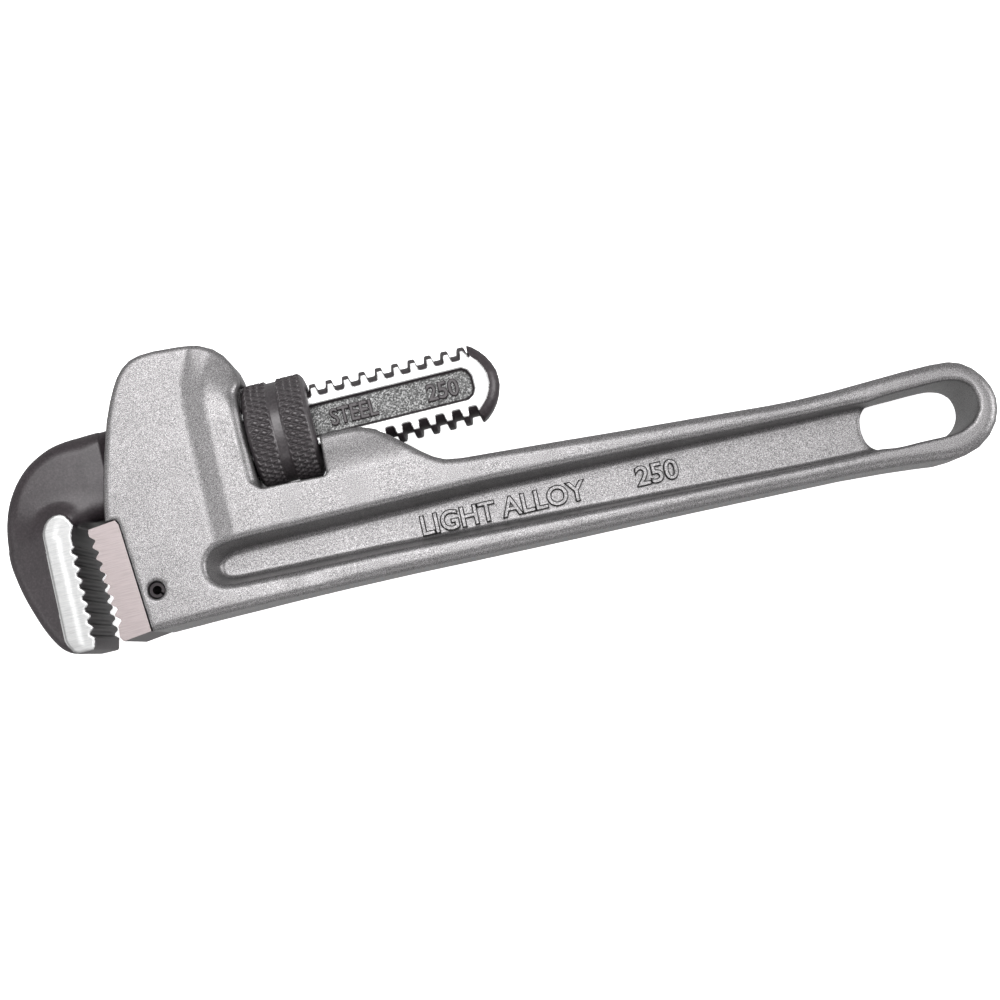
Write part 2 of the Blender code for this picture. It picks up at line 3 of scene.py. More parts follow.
import bmesh
import bpy
import numpy as np
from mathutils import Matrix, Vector


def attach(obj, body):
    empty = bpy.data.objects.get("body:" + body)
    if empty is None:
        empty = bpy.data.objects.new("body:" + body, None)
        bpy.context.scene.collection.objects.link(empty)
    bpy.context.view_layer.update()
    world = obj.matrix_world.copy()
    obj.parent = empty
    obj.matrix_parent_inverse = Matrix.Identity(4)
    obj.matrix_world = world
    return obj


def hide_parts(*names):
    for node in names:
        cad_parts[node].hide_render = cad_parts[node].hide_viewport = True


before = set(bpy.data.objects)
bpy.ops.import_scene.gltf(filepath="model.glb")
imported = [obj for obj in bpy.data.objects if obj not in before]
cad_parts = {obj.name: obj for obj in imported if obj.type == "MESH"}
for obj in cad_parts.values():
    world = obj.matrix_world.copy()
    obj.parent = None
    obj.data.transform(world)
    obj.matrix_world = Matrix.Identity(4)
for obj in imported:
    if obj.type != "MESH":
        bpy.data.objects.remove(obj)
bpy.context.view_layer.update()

# Outlines below are millimetres in the shank's own frame: X = 0 at the heel jaw's teeth, Y = Z = 0 on the
# shank's axis. SHIFT takes them to the row frame, whose origin is the bottom centre of the box.
SHIFT = np.array([-87.9, 9.95, 13.2])
MM = 0.001

PITCH = 3.68
CREST_RADIUS = 8.55
ROOT_RADIUS = 7.0
CREST_WIDTH = 1.3
ROOT_WIDTH = 1.75
THREAD_PHASE = 53.15
SHANK_HALF = 4.8
NUT_LEFT = 36.9
NUT_LENGTH = 14.2
NUT_RADIUS = 11.5
KNURL_LINES = 43
KNURL_DEPTH = 0.72
KNURL_ANGLE = math.radians(30)
HEAD_HALF = 13.15
WEB_HALF = 3.5
WINDOW_LEFT = 36.7
WINDOW_RIGHT = 51.45
ARCH_RADIUS = 12.1
BORE_HALF = 5.3
MOUTH_END = 15.0


# ------------------------------------------------------------ distance fields

def polygon_distance(x, y, corners):
    """Signed distance from points to a closed outline, negative inside."""
    corners = np.asarray(corners, float)
    nearest = np.full(x.shape, 1e9)
    inside = np.zeros(x.shape, bool)
    for (x0, y0), (x1, y1) in zip(corners, np.roll(corners, -1, axis=0)):
        ex, ey = x1 - x0, y1 - y0
        px, py = x - x0, y - y0
        along = np.clip((px * ex + py * ey) / (ex * ex + ey * ey + 1e-12), 0, 1)
        nearest = np.minimum(nearest, (px - along * ex) ** 2 + (py - along * ey) ** 2)
        crosses = (y0 > y) != (y1 > y)
        if ey:
            inside ^= crosses & (px < py / ey * ex)
    distance = np.sqrt(nearest)
    return np.where(inside, -distance, distance)


def curve_through(points, per_span=6):
    """A closed smooth curve through the points (centripetal Catmull-Rom)."""
    points = np.asarray(points, float)
    count = len(points)
    out = []
    for i in range(count):
        p0, p1, p2, p3 = (points[(i + k) % count] for k in (-1, 0, 1, 2))
        t1 = np.linalg.norm(p1 - p0) ** 0.5 + 1e-6
        t2 = t1 + np.linalg.norm(p2 - p1) ** 0.5 + 1e-6
        t3 = t2 + np.linalg.norm(p3 - p2) ** 0.5 + 1e-6
        for k in range(per_span):
            t = t1 + (t2 - t1) * k / per_span
            a1 = p0 * (t1 - t) / t1 + p1 * t / t1
            a2 = p1 * (t2 - t) / (t2 - t1) + p2 * (t - t1) / (t2 - t1)
            a3 = p2 * (t3 - t) / (t3 - t2) + p3 * (t - t2) / (t3 - t2)
            b1 = a1 * (t2 - t) / t2 + a2 * t / t2
            b2 = a2 * (t3 - t) / (t3 - t1) + a3 * (t - t1) / (t3 - t1)
            out.append(b1 * (t2 - t) / (t2 - t1) + b2 * (t - t1) / (t2 - t1))
    return np.array(out)


def curve_corners(corners, radius):
    """The outline with its corners rounded."""
    out = []
    count = len(corners)
    for i, corner in enumerate(corners):
        c = Vector(corner)
        a = Vector(corners[i - 1]) - c
        b = Vector(corners[(i + 1) % count]) - c
        cut = min(radius, a.length * 0.45, b.length * 0.45)
        a, b = c + a.normalized() * cut, c + b.normalized() * cut
        for k in range(5):
            t = k / 4
            out.append(tuple(a * (1 - t) ** 2 + c * 2 * t * (1 - t) + b * t * t))
    return out


def ramp(value, low, high):
    """Smooth step from 0 at low to 1 at high."""
    share = np.clip((value - low) / (high - low), 0, 1)
    return share * share * (3 - 2 * share)


def meet(a, b, radius):
    """Intersection of two fields, with the edge between them rounded."""
    radius = np.maximum(radius, 1e-3)
    over_a = np.maximum(a + radius, 0)
    over_b = np.maximum(b + radius, 0)
    return np.sqrt(over_a ** 2 + over_b ** 2) + np.minimum(np.maximum(a, b) + radius, 0) - radius


def join(a, b, radius):
    """Union of two fields, with a fillet between them."""
    return -meet(-a, -b, radius)


def carve(a, b, radius):
    """Field a without field b, with the new edge rounded."""
    return meet(a, -b, radius)


def overlap(*fields):
    """Intersection of any number of fields, with sharp edges."""
    result = fields[0]
    for field in fields[1:]:
        result = np.maximum(result, field)
    return result


def from_crest(x, turn):
    """Distance along the axis to the nearest crest of the shank's thread."""
    along = x - THREAD_PHASE + PITCH * turn / (2 * math.pi)
    return np.abs((along / PITCH + 0.5) % 1 - 0.5) * PITCH


def sloped(height, z, step):
    """Distance to the two faces |z| = height(x, y), where height varies."""
    gx, gy = np.gradient(height[:, :, 0], step)
    lean = np.sqrt(1 + gx ** 2 + gy ** 2)[:, :, None]
    return (np.abs(z) - height) / lean


def surface_net(field, origin, step):
    """Closed quad mesh of the field's zero surface."""
    inside = field < 0
    shape = np.array(field.shape) - 1
    corners = [(i, j, k) for i in (0, 1) for j in (0, 1) for k in (0, 1)]
    part = [inside[i:i + shape[0], j:j + shape[1], k:k + shape[2]] for i, j, k in corners]
    total = np.sum(part, axis=0, dtype=np.int8)
    cells = np.argwhere((total > 0) & (total < 8))
    index = np.full(shape, -1, np.int64)
    index[tuple(cells.T)] = np.arange(len(cells))
    value = {c: field[tuple((cells + c).T)] for c in corners}
    place = np.zeros((len(cells), 3))
    hits = np.zeros(len(cells))
    for a in corners:
        for axis in range(3):
            if a[axis]:
                continue
            b = tuple(1 if i == axis else a[i] for i in range(3))
            va, vb = value[a], value[b]
            cut = (va < 0) != (vb < 0)
            t = np.where(cut, va / np.where(cut, va - vb, 1), 0)
            point = np.repeat(np.array([a], float), len(cells), 0)
            point[:, axis] += t
            place += point * cut[:, None]
            hits += cut
    vertices = origin + (cells + place / hits[:, None]) * step
    quads = []
    for axis in range(3):
        u, v = (axis + 1) % 3, (axis + 2) % 3
        low = [slice(1, -1)] * 3
        low[axis] = slice(0, -1)
        high = list(low)
        high[axis] = slice(1, None)
        here, there = inside[tuple(low)], inside[tuple(high)]
        edges = np.argwhere(here != there)
        if not len(edges):
            continue
        edges[:, u] += 1
        edges[:, v] += 1
        outward = inside[tuple(edges.T)]
        du = np.zeros(3, int)
        dv = np.zeros(3, int)
        du[u] = dv[v] = 1
        ring = [index[tuple((edges - d).T)] for d in (du + dv, dv, du * 0, du)]
        quad = np.stack(ring, axis=1)
        quads.append(np.where(outward[:, None], quad, quad[:, ::-1]))
    return vertices, np.concatenate(quads)


def add_object(name, data):
    obj = bpy.data.objects.new(name, data)
    bpy.context.scene.collection.objects.link(obj)
    return obj


def mesh_from(name, vertices, faces):
    """A smooth-shaded mesh object from shank-frame millimetres."""
    mesh = bpy.data.meshes.new(name)
    points = ((np.asarray(vertices) + SHIFT) * MM).astype(np.float32)
    faces = np.asarray(faces, np.int32)
    mesh.vertices.add(len(points))
    mesh.vertices.foreach_set("co", points.ravel())
    mesh.loops.add(faces.size)
    mesh.loops.foreach_set("vertex_index", faces.ravel())
    mesh.polygons.add(len(faces))
    mesh.polygons.foreach_set("loop_start", np.arange(0, faces.size, faces.shape[1], dtype=np.int32))
    mesh.update(calc_edges=True)
    mesh.validate()
    mesh.shade_smooth()
    return add_object(name, mesh)


def grid(low, high, step):
    """Sparse coordinate arrays of a grid from low to high."""
    axes = [np.arange(a, b + step, step) for a, b in zip(low, high)]
    return np.meshgrid(*axes, indexing="ij", sparse=True)


# ------------------------------------------------------------ the casting

OUTER = (
    (4.4, -35.9), (9, -36.15), (20, -36.05), (36, -36.1), (50, -36.3), (64, -36.6), (77, -37.05),
    (100, -37.75), (127, -38.5), (145, -39.1), (160, -39.6), (170, -40.3), (177, -41.0), (181, -41.5),
    (184.5, -41.4), (187.8, -40.4), (190.6, -38.5), (192.6, -36.1), (193.7, -33.5), (194.05, -31),
    (193.7, -28.6), (192.5, -25.9), (190.7, -23.6), (188.5, -21.9), (186, -21.0), (182, -20.7),
    (176, -20.7), (169, -20.9), (160, -21.15), (152, -21.1), (146, -20.8), (130, -19.6), (116, -18.6),
    (100, -17.35), (88, -16.5), (80, -15.95), (76.6, -15.4), (74.2, -14.2), (72, -12.5), (69, -9.8),
    (66, -7.1), (63.2, -5.0), (61, -4.1), (58, -3.6), (54.9, -3.55), (46, -3.5), (38.9, -3.4),
    (37.7, 4), (37.75, 11.4), (37.6, 13.6), (37.0, 15.9), (35.8, 18.0), (34.0, 19.75), (31.5, 20.8),
    (27, 21.3), (22, 21.65), (18.8, 21.5), (16.6, 20.9), (14.7, 19.6), (13.2, 17.9), (12.0, 15.9),
    (10.6, 13.1), (9.0, 9.2), (7.6, 4.6), (6.4, 0.5), (5.3, -3.8), (4.5, -7.6), (3.95, -11.1),
    (4.0, -16),
)
WINDOW = (
    (WINDOW_LEFT, -12.05), (45, -12.35), (WINDOW_RIGHT, -12.75), (51.5, -9), (WINDOW_RIGHT, -5),
    (WINDOW_RIGHT, -1), (55, 9.45), (WINDOW_LEFT, 9.45),
)
POCKET = (
    (21.0, -26.2), (21.4, -28.4), (22.6, -30.3), (24.5, -31.5), (27.2, -32.0), (31, -32.15),
    (60, -33.1), (84, -33.9), (120, -35.1), (150, -36.0), (168, -36.25), (180.0, -36.35),
    (184.5, -36.0), (187.6, -34.6), (189.2, -32.4), (189.6, -30.0), (189.0, -27.6), (187.2, -25.9),
    (184.4, -25.05), (180, -24.85), (168, -24.95), (150, -24.2), (120, -22.6), (84, -20.75),
    (60, -20.25), (31, -19.95), (27.0, -20.2), (24.2, -21.0), (22.3, -22.6), (21.3, -24.4),
)
HOLE = (
    (165.3, -30.6), (165.9, -33.6), (167.6, -35.4), (170.4, -36.2), (176, -36.3), (184, -36.2),
    (187.4, -34.7), (189.2, -32.4), (189.6, -30), (189.0, -27.6), (187.2, -25.9), (184.4, -25.0),
    (176, -24.95), (170.4, -25.1), (167.6, -25.8), (165.9, -27.6),
)
SEAT = ((-6, -44), (9.25, -44), (7.0, -12.2), (6.55, -11.45), (5.9, -11.15), (-6, -11.85))


def casting_field(step):
    """The casting's distance field and the grid's low corner."""
    low = (1, -44, -14.4)
    x, y, z = grid(low, (196, 24, 14.4), step)
    flat_x, flat_y = np.broadcast_arrays(x, y)

    def outline(corners):
        return polygon_distance(flat_x, flat_y, corners).astype(np.float32)

    # Half thickness over the outline: thick front, a step down to the nut's side, then a slow taper.
    bend = np.interp(flat_y, [9, 13, 16, 20, 24], [0, 0.6, 1.8, 4.2, 8.0])
    start = 24.4 + bend
    along = np.linspace(0, 1, 61)
    steepness = np.interp(along, [0, 0.26, 0.72, 0.9, 1], [0, 1, 0.85, 0.15, 0])
    profile = np.cumsum(steepness) / steepness.sum()
    spread = np.interp(flat_y, [-36, -22], [30, 6.9])
    down = np.interp((flat_x - start) / spread, along, profile)
    corner = ramp(flat_y, 5.0, 15.0) * ramp(flat_x, 28.0, 41.0) * 3.6
    level = np.interp(flat_x, [36.0, 41.5, 66, 170], [11.35, 10.95, 11.2, 10.35])
    half = HEAD_HALF - (HEAD_HALF - level) * down - corner
    rise = np.clip((flat_y + 13.4) / 10.0, 0, 1)
    bump = 0.45 * rise + 0.55 * rise * rise * (3 - 2 * rise)
    bump = bump * ramp(flat_x, 46, 52) * (1 - ramp(flat_x, 74, 84))
    half = half - 3.0 * bump
    rim = np.interp(flat_x, [60, 100], [1.3, 2.3])
    rim = np.where(flat_y > -12, np.minimum(rim, 1.2), rim)
    rim = np.where(flat_y < -28, np.interp(flat_x, [5, 40, 100], [1.6, 2.0, 2.4]), rim)
    edge = outline(OUTER)
    faces = sloped(half, z, step)
    body = meet(edge, faces, rim)

    # The I-beam's side pockets, whose walls lean more near the housing, and the hang-up hole.
    share = np.clip((flat_x - 60) / 100, 0, 1)
    wall = 1.8 - 1.4 * share
    pocket_edge = outline(POCKET) + 1.3 - 0.9 * share
    rise = np.clip((np.abs(z) - WEB_HALF) / (half - WEB_HALF), 0, 1.3)
    lean = np.sqrt(1 + (wall / 8.0) ** 2)
    pocket = (pocket_edge + wall * (1 - rise)) / lean
    pocket = meet(pocket, WEB_HALF - np.abs(z), 1.1)
    body = carve(body, pocket, np.interp(flat_x, [30, 60, 100], [1.2, 1.1, 1.3]))
    body = carve(body, outline(curve_through(HOLE, 4)) + 0 * z, 0.7)

    # Openings for the nut and the shank, then for the heel jaw with its tang and pin, and the coil.
    window = outline(curve_corners(WINDOW, 1.1)) + 0 * z
    left_edge = np.interp(flat_x, [37.4, 39.5], [2.4, 0.35]) * ramp(flat_y, -12.2, -10.0)
    body = carve(body, window, np.maximum(left_edge, 0.35))
    radial = np.sqrt(y ** 2 + z ** 2)
    arch = overlap(WINDOW_LEFT - x, x - WINDOW_RIGHT, radial - ARCH_RADIUS)
    body = carve(body, arch, 0.4)
    tunnel = overlap(x - 45, np.abs(z) - BORE_HALF, -8.9 - y, y - 12.4)
    body = carve(body, tunnel, 0.4)
    mouth_x = [-4, 6, 10, MOUTH_END]
    reach = np.interp(x, mouth_x, [12.0, 11.2, 10.4, 5.0])
    roof = np.interp(x, mouth_x, [13.0, 12.4, 11.8, 10.8])
    bottom = np.interp(x, mouth_x, [-12.6, -12.6, -12.4, -9.2])
    mouth = overlap(np.abs(z) - reach, x - MOUTH_END, y - roof, bottom - y)
    body = carve(body, mouth, 0.5)
    slot = overlap(51 - x, np.abs(z) - BORE_HALF, -12.5 - y, y - 4)
    body = carve(body, slot, 0.5)
    body = carve(body, outline(SEAT) + 0.14 + 0 * z, 0.15)
    tang = overlap(x - 16, np.abs(z) - 4.8, -32.3 - y, y + 23.3)
    body = carve(body, tang, 0.05)
    pin = np.sqrt((x - 11.3) ** 2 + (y + 27.8) ** 2) - 1.88 + 0 * z
    body = carve(body, pin, 0.12)
    coil = overlap(np.sqrt((x - 21.8) ** 2 + z ** 2) - 3.7, 10 - y, y - 19.5)
    body = carve(body, coil, 0.05)
    return body.astype(np.float32), low


# ------------------------------------------------------------ the hook jaw

HOOK = (
    (10.2, -8.6), (10.2, 8.3), (6, 8.4), (2, 8.35), (-1.5, 8.1), (-4.5, 7.5), (-7.5, 6.2), (-10.2, 4.5),
    (-12.6, 2.2), (-14.6, -0.6), (-16.2, -3.8), (-17.4, -7.4), (-18.1, -11.2), (-18.3, -14.6),
    (-17.8, -18.3), (-16.9, -22.2), (-15.6, -26.2), (-14.1, -30.0), (-12.5, -33.0), (-10.8, -35.2),
    (-8.8, -36.5), (-6.4, -36.8), (-5.0, -36.6), (-4.8, -35.6), (-4.8, -33), (-4.8, -25), (-4.8, -14.4),
    (-4.5, -12.4), (-3.6, -10.9), (-2.2, -10.4), (1, -10.3), (5, -10.0), (8, -9.3),
)
PAD = (
    (-3.45, -34.6), (-3.8, -36.2), (-4.0, -36.75), (-4.6, -36.85), (-7.6, -36.8), (-8.4, -36.3),
    (-9.3, -34.8), (-9.5, -33.8), (-9.45, -30), (-9.3, -20), (-9.1, -11.4), (-8.9, -10.2), (-8.3, -9.0),
    (-7.3, -8.0), (-6.0, -7.5), (-4.8, -7.55), (-3.8, -8.1), (-3.1, -9.0), (-2.55, -10.2),
    (-2.75, -10.9), (-3.3, -12.0), (-3.5, -13.2), (-3.4, -14.5),
)
TOOTH_PITCH = 2.52
HOOK_TEETH_TOP = -14.6
HOOK_TEETH = 8
# One tooth: share of the pitch, X of the outline there.
TOOTH = ((0.0, -3.1), (0.12, -3.15), (0.36, -4.0), (0.50, -4.05), (0.86, -3.1))
PAD_HALF = 12.75


def hook_field(step):
    """The hook's distance field and the grid's low corner."""
    low = (-19.4, -38, -13.8)
    x, y, z = grid(low, (11, 10, 13.8), step)
    flat_x, flat_y = np.broadcast_arrays(x, y)
    edge = polygon_distance(flat_x, flat_y, curve_through(HOOK, 5)).astype(np.float32)
    teeth = []
    for i in range(HOOK_TEETH):
        for share, tip in TOOTH:
            teeth.append((tip - 0.015 * i, HOOK_TEETH_TOP - TOOTH_PITCH * (i + share)))
    pad_edge = polygon_distance(flat_x, flat_y, list(PAD) + teeth).astype(np.float32)
    gap = np.maximum(pad_edge, 0)
    band = np.interp(flat_x, [-6, -2, 2, 6, 8, 10.2], [10.75, 10.7, 10.6, 10.35, 8.8, 4.9])
    rise = 1 - np.clip(gap / 3.4, 0, 1)
    band = band + 2.0 * rise ** 1.8 * ramp(flat_x, 1.5, -3.5)
    flank = PAD_HALF - 0.38 * gap
    high = ramp(flat_y, -13.0, -1.5)
    half = band * high + np.minimum(flank, PAD_HALF) * (1 - high)
    rim = np.interp(flat_x, [-16, -8, 2, 8], [2.6, 3.0, 4.2, 3.0])
    rim = np.where(flat_y < -12, 2.2, rim)
    body = meet(edge, sloped(half, z, step), rim)
    pad = meet(pad_edge, np.abs(z) - 12.85, 0.15)
    body = join(body, pad, 0.35)
    return body.astype(np.float32), low


# ------------------------------------------------------------ the shank

PANEL_DEPTH = 0.95
PANEL = (
    (35.6, -3.6), (84.5, -3.6), (85.8, -2.8), (86.5, -1.4), (86.5, 1.4), (85.8, 2.8), (84.5, 3.6),
    (35.6, 3.6),
)
SHANK = (
    (8, -8.45), (31, -8.5), (33, -9.4), (84.9, -9.4), (86.5, -8.7), (88.0, -7.8), (89.3, -6.6),
    (90.5, -5.1), (91.4, -3.4), (92.0, -1.6), (92.1, 0), (92.0, 1.6), (91.4, 3.4), (90.5, 5.1),
    (89.3, 6.6), (88.0, 7.8), (86.5, 8.7), (84.9, 9.4), (33, 9.4), (31, 8.5), (8, 8.45),
)


def shank_field(step):
    """The shank's distance field and the grid's low corner."""
    low = (7.5, -9.2, -5.4)
    x, y, z = grid(low, (92.8, 9.2, 5.4), step)
    flat_x, flat_y = np.broadcast_arrays(x, y)
    edge = polygon_distance(flat_x, flat_y, SHANK).astype(np.float32)
    radius = np.sqrt(y ** 2 + z ** 2)
    along = from_crest(x, np.arctan2(y, z))
    flank = (PITCH - CREST_WIDTH - ROOT_WIDTH) / 2 / (CREST_RADIUS - ROOT_RADIUS)
    ridge = (along - CREST_WIDTH / 2 - (CREST_RADIUS - radius) * flank) / math.sqrt(1 + flank ** 2)
    ridge = meet(ridge, radius - CREST_RADIUS, 0.18)
    thread = join(radius - ROOT_RADIUS, ridge, 0.25)
    solid = np.minimum(thread, np.maximum(x - 31, radius - 10))
    solid = np.minimum(solid, np.maximum(86.9 - x, radius - 10))
    rim = np.interp(flat_x, [83.4, 86.4], [0.2, 3.1])
    solid = np.maximum(solid, meet(edge, np.abs(z) - SHANK_HALF, rim))
    panel = polygon_distance(flat_x, flat_y, PANEL).astype(np.float32)
    panel = (panel + 0.5 * (SHANK_HALF - np.abs(z))) * 0.9
    panel = np.maximum(panel, SHANK_HALF - PANEL_DEPTH - np.abs(z))
    solid = carve(solid, panel, 0.12)
    return solid.astype(np.float32), low


# ------------------------------------------------------------ the nut

def nut_mesh():
    """Knurled bands outside and the matching thread inside, as rings round the axis."""
    around = 720
    turn = np.arange(around) * 2 * math.pi / around
    right = NUT_LEFT + NUT_LENGTH
    xs = np.concatenate([
        [NUT_LEFT, NUT_LEFT + 0.1], np.linspace(NUT_LEFT + 0.3, right - 0.15, 104), [right - 0.05, right],
    ])
    outline_x = [
        36.9, 37.05, 37.6, 38.1, 42.3, 42.5, 42.75, 44.75, 45.0, 45.2, 49.8, 50.2, 50.7, 51.0, 51.1,
    ]
    outline_r = [
        9.9, 10.3, 11.0, 11.5, 11.5, 11.3, 11.0, 11.0, 11.3, 11.5, 11.5, 11.2, 10.5, 9.4, 8.9,
    ]
    band = np.interp(xs, [37.6, 38.2, 42.2, 42.5, 45.0, 45.3, 49.7, 50.1], [0, 1, 1, 0, 0, 1, 1, 0])
    base = np.interp(xs, outline_x, outline_r)
    around_share = KNURL_LINES * turn / (2 * math.pi)
    along_share = xs * math.tan(KNURL_ANGLE) * KNURL_LINES / (2 * math.pi * NUT_RADIUS)
    first = 1 - np.abs(((around_share[None, :] + along_share[:, None]) % 1) * 2 - 1)
    second = 1 - np.abs(((around_share[None, :] - along_share[:, None]) % 1) * 2 - 1)
    peak = np.minimum(np.minimum(first * 1.5, 1), np.minimum(0.3 + second * 1.3, 1))
    outer = base[:, None] - band[:, None] * KNURL_DEPTH * (1 - peak)
    inner_x = np.linspace(right - 0.4, NUT_LEFT + 0.4, 76)
    wound = from_crest(inner_x[:, None], turn[None, :])
    inner = np.interp(wound, [0, 1.0, 1.265, 1.84], [8.9, 8.9, 7.35, 7.35])
    rings_x = np.concatenate([xs, inner_x])
    rings_r = np.concatenate([outer, inner])
    points = np.stack([
        np.broadcast_to(rings_x[:, None], rings_r.shape),
        rings_r * np.sin(turn)[None, :], rings_r * np.cos(turn)[None, :],
    ], axis=-1)
    count = len(rings_x)
    place = np.arange(count * around).reshape(count, around)
    after = np.roll(place, -1, axis=1)
    faces = np.stack([place, after, np.roll(after, -1, axis=0), np.roll(place, -1, axis=0)], axis=-1)
    faces = faces.reshape(-1, 4)
    return points.reshape(-1, 3), faces


# ------------------------------------------------------------ materials

PAINT = 0.182
PAINT_METAL = 0.75
PAINT_ROUGH = 0.42


def new_material(name):
    material = bpy.data.materials.new(name)
    material.use_nodes = True
    shader = material.node_tree.nodes["Principled BSDF"]
    return material, material.node_tree, shader


def grain(tree, scale, detail=3.0, stretch=(1, 1, 1)):
    """Noise in the object's own coordinates; scale counts per millimetre."""
    place = tree.nodes.new("ShaderNodeTexCoord")
    spread = tree.nodes.new("ShaderNodeMapping")
    spread.inputs["Scale"].default_value = stretch
    noise = tree.nodes.new("ShaderNodeTexNoise")
    noise.inputs["Scale"].default_value = scale / MM
    noise.inputs["Detail"].default_value = detail
    tree.links.new(place.outputs["Object"], spread.inputs["Vector"])
    tree.links.new(spread.outputs["Vector"], noise.inputs["Vector"])
    return noise.outputs["Fac"]


def tint(tree, factor, stops):
    """Colour ramp over the factor; each stop is a position and a colour."""
    ramp_node = tree.nodes.new("ShaderNodeValToRGB")
    band = ramp_node.color_ramp
    while len(band.elements) < len(stops):
        band.elements.new(0.5)
    for element, (place, shade) in zip(band.elements, stops):
        element.position = place
        element.color = (*shade, 1)
    tree.links.new(factor, ramp_node.inputs["Fac"])
    return ramp_node.outputs["Color"]


def multiplied(tree, first, second):
    node = tree.nodes.new("ShaderNodeMix")
    node.data_type = "RGBA"
    node.blend_type = "MULTIPLY"
    node.inputs[0].default_value = 1.0
    tree.links.new(first, node.inputs[6])
    tree.links.new(second, node.inputs[7])
    return node.outputs[2]


def bumped(tree, shader, height, depth, strength):
    """Adds a bump of this depth in millimetres, after any that the shader has."""
    bump = tree.nodes.new("ShaderNodeBump")
    bump.inputs["Strength"].default_value = strength
    bump.inputs["Distance"].default_value = depth * MM
    tree.links.new(height, bump.inputs["Height"])
    before = shader.inputs["Normal"].links
    if before:
        tree.links.new(before[0].from_socket, bump.inputs["Normal"])
    tree.links.new(bump.outputs["Normal"], shader.inputs["Normal"])


def grey(value, warm=0.0, blue=0.0):
    return (value + warm, value, value + blue)


def paint_material(name, level):
    material, tree, shader = new_material(name)
    fine = grain(tree, 6.5, 3)
    broad = grain(tree, 0.12, 3)
    values = (0.30 * PAINT * level, PAINT * level, 2.1 * PAINT * level)
    dark, plain, light = ((k, k * 0.972, k * 0.986) for k in values)
    speck = tint(tree, fine, ((0.32, dark), (0.50, plain), (0.66, light)))
    cloud = tint(tree, broad, ((0.3, grey(0.93)), (0.7, grey(1.05))))
    tree.links.new(multiplied(tree, speck, cloud), shader.inputs["Base Color"])
    shader.inputs["Metallic"].default_value = PAINT_METAL
    shader.inputs["Roughness"].default_value = PAINT_ROUGH
    bumped(tree, shader, fine, 0.035, 0.5)
    bumped(tree, shader, grain(tree, 0.55, 3), 0.06, 0.35)
    return material


def oxide_material(name, level, rough):
    material, tree, shader = new_material(name)
    fine = grain(tree, 2.2, 4)
    shade = tint(tree, fine, (
        (0.28, grey(level * 0.72, 0.004, 0.002)), (0.5, grey(level, 0.006, 0.003)),
        (0.7, grey(level * 1.45, 0.008, 0.004)),
    ))
    cloud = tint(tree, grain(tree, 0.2, 3), ((0.3, grey(0.86)), (0.7, grey(1.1))))
    tree.links.new(multiplied(tree, shade, cloud), shader.inputs["Base Color"])
    shader.inputs["Metallic"].default_value = 0.15
    shader.inputs["Roughness"].default_value = rough
    bumped(tree, shader, fine, 0.03, 0.5)
    bumped(tree, shader, grain(tree, 0.7, 2), 0.06, 0.3)
    return material


def ground_material(name, level, stretch=(0.08, 1, 1), rough=0.32, warm=0.0):
    material, tree, shader = new_material(name)
    lines = grain(tree, 5.0, 3, stretch)
    shade = tint(tree, lines, (
        (0.3, grey(level * 0.86, warm * 0.8)), (0.5, grey(level, warm)),
        (0.72, grey(min(level * 1.1, 1.0), warm)),
    ))
    tree.links.new(shade, shader.inputs["Base Color"])
    shader.inputs["Metallic"].default_value = 0.8
    shader.inputs["Roughness"].default_value = rough
    bumped(tree, shader, lines, 0.012, 0.5)
    return material


def panel_material():
    material, tree, shader = new_material("textured_panel_finish")
    coarse = grain(tree, 3.2, 4)
    shade = tint(tree, coarse, ((0.38, grey(0.022)), (0.52, grey(0.078)), (0.64, grey(0.25))))
    tree.links.new(shade, shader.inputs["Base Color"])
    shader.inputs["Metallic"].default_value = 0.6
    shader.inputs["Roughness"].default_value = 0.42
    bumped(tree, shader, coarse, 0.10, 0.8)
    return material


# ------------------------------------------------------------ the pieces

def assign(obj, materials, choose=None):
    """Gives the object its materials, and each face the one that choose names."""
    for material in materials:
        obj.data.materials.append(material)
    if choose is not None:
        obj.data.polygons.foreach_set("material_index", choose.astype(np.int32))
        obj.data.update()


def net_piece(name, field_of, step):
    """A piece from its distance field, and the centres of its faces."""
    field, low = field_of(step)
    vertices, faces = surface_net(field, np.array(low), step)
    return mesh_from(name, vertices, faces), vertices[faces].mean(axis=1)


paint = paint_material("silver_paint", 1.0)
# A darker copy of the silver paint: painted shade on the sides of the web's raised letters.
letter_side_painted_shade = paint_material("silver_paint_with_painted_shade", 0.22)
oxide = oxide_material("black_oxide_finish", 0.022, 0.40)
ground = ground_material("ground_steel_finish", 0.50)
panel_skin = panel_material()
mark_skin = oxide_material("mark_finish", 0.02, 0.4)

step = 0.4
casting, middle = net_piece("handle_casting", casting_field, step)
assign(casting, [paint])
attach(casting, "handle")
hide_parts("handle")

step = 0.25
hook, middle = net_piece("hook_head", hook_field, step)
bright = (np.abs(middle[:, 2]) > PAD_HALF - 0.01) & (middle[:, 0] > -10)
assign(hook, [oxide, ground_material("pad_finish", 0.31)], bright)
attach(hook, "hook")

step = 0.2
shank, middle = net_piece("hook_shank", shank_field, step)
kind = np.zeros(len(middle), int)
kind[(np.abs(middle[:, 2]) > SHANK_HALF - 0.12) & (middle[:, 0] > 33)] = 1
in_panel = polygon_distance(middle[:, 0], middle[:, 1], PANEL) < 0.1
kind[in_panel & (np.abs(np.abs(middle[:, 2]) - SHANK_HALF + PANEL_DEPTH) < 0.1)] = 2
assign(shank, [oxide, ground, panel_skin], kind)
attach(shank, "hook")
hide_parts("hook_jaw")
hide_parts("hook_jaw")

nut = mesh_from("knurled_nut", *nut_mesh())
assign(nut, [oxide_material("nut_oxide", 0.042, 0.33)])
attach(nut, "nut")
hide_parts("adjusting_nut")


